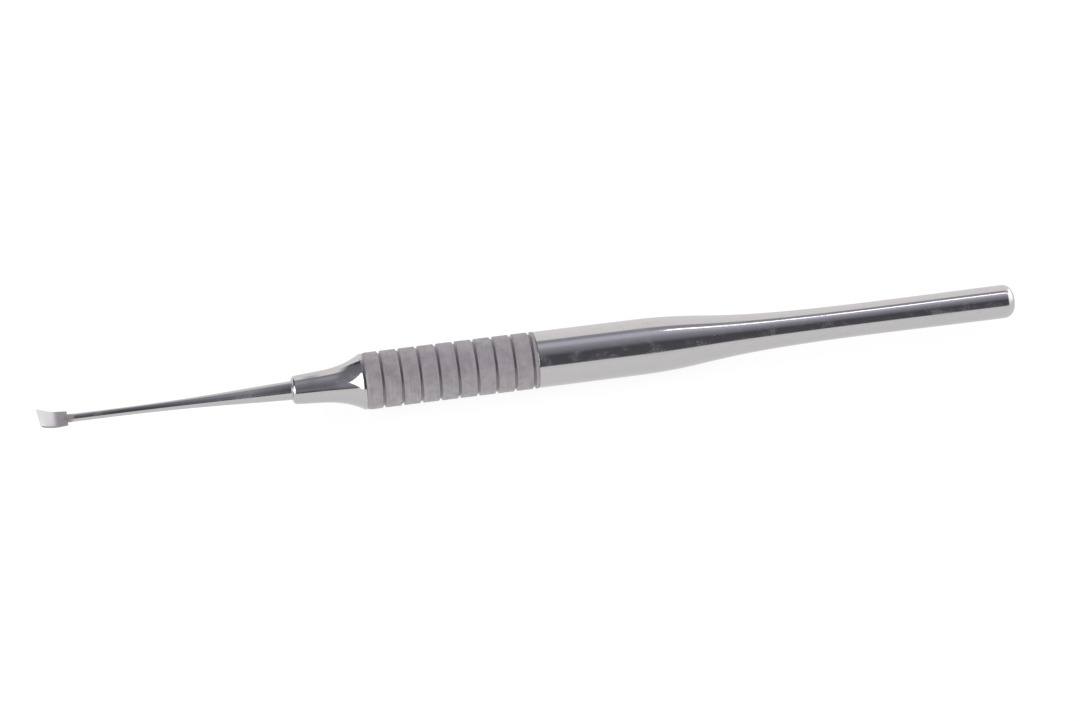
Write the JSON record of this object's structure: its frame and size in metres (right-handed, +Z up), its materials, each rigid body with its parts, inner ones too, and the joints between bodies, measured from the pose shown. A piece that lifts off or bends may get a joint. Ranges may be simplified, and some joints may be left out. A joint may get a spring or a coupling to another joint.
{
  "type": "dental elevator",
  "caption": "Single-ended dental elevator: small curled plate blade, tapered shank, trumpet nose, ring-grooved blasted grip and polished waisted handle.",
  "frame": {"origin": "on the floor under the middle of the overall length, below the long axis; the instrument lies on its grip", "axes": "+X from the blade towards the butt along the long axis, +Z up, the side that the blade's hollow face looks to"},
  "size_m": [0.174, 0.01, 0.01],
  "materials": {
    "forged_steel": "satin",
    "polished_steel": "polished",
    "blasted_steel": "matte",
    "turned_steel": "satin",
    "braze_silver": "satin"
  },
  "bodies": {
    "root": {"working_end": "forged_steel", "braze_filler": "braze_silver", "nose_cone": "polished_steel", "grip_sleeve": "blasted_steel", "tang_bush": "turned_steel", "joint_spigot": "turned_steel", "rear_body": "polished_steel", "butt_plug": "polished_steel"}
  },
  "joints": []
}
